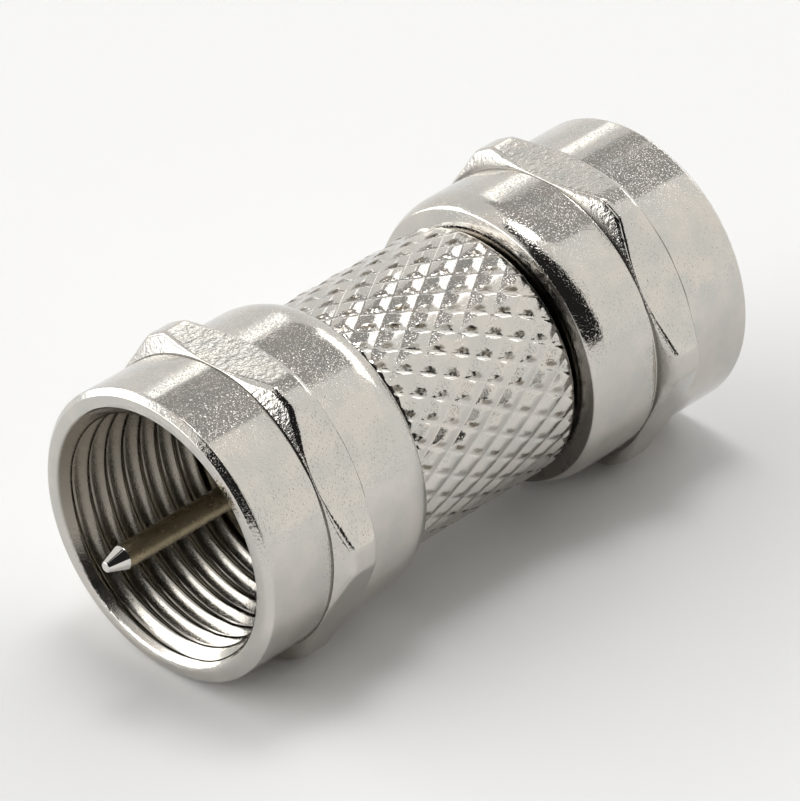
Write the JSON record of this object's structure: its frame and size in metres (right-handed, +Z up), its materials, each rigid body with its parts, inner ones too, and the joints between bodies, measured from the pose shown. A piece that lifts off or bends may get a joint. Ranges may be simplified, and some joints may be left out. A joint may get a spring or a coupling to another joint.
{
  "type": "f connector",
  "caption": "Male-to-male F coaxial adapter: captive hexagon coupling nuts at both ends of a diamond-knurled barrel, with a pointed centre pin in each mouth.",
  "frame": {"origin": "on the axis, at the middle of the knurled barrel", "axes": "+X along the axis towards the rear mouth, +Z up from the flats that the nuts lie on"},
  "size_m": [0.0282, 0.0122, 0.011],
  "materials": {
    "plated_barrel": "diamond-knurled brass, bright nickel plate",
    "plated_nut": "turned hexagon-bar brass, bright nickel plate",
    "plated_ferrule": "turned brass, bright nickel plate",
    "insulator": "moulded acetal, natural white",
    "plated_pin": "turned brass, dulled nickel plate"
  },
  "bodies": {
    "body": {"barrel": "plated_barrel", "front_ferrule": "plated_ferrule", "rear_ferrule": "plated_ferrule", "front_insulator": "insulator", "rear_insulator": "insulator", "centre_pin": "plated_pin"},
    "front_nut": {"front_coupling_nut": "plated_nut"},
    "rear_nut": {"rear_coupling_nut": "plated_nut"}
  },
  "joints": [
    {"name": "front_nut_turn", "type": "hinge", "parent": "body", "child": "front_nut", "pos_m": [-0.0046, 0, 0], "axis": [1, 0, 0], "continuous": true},
    {"name": "rear_nut_turn", "type": "hinge", "parent": "body", "child": "rear_nut", "pos_m": [0.0046, 0, 0], "axis": [1, 0, 0], "continuous": true}
  ]
}
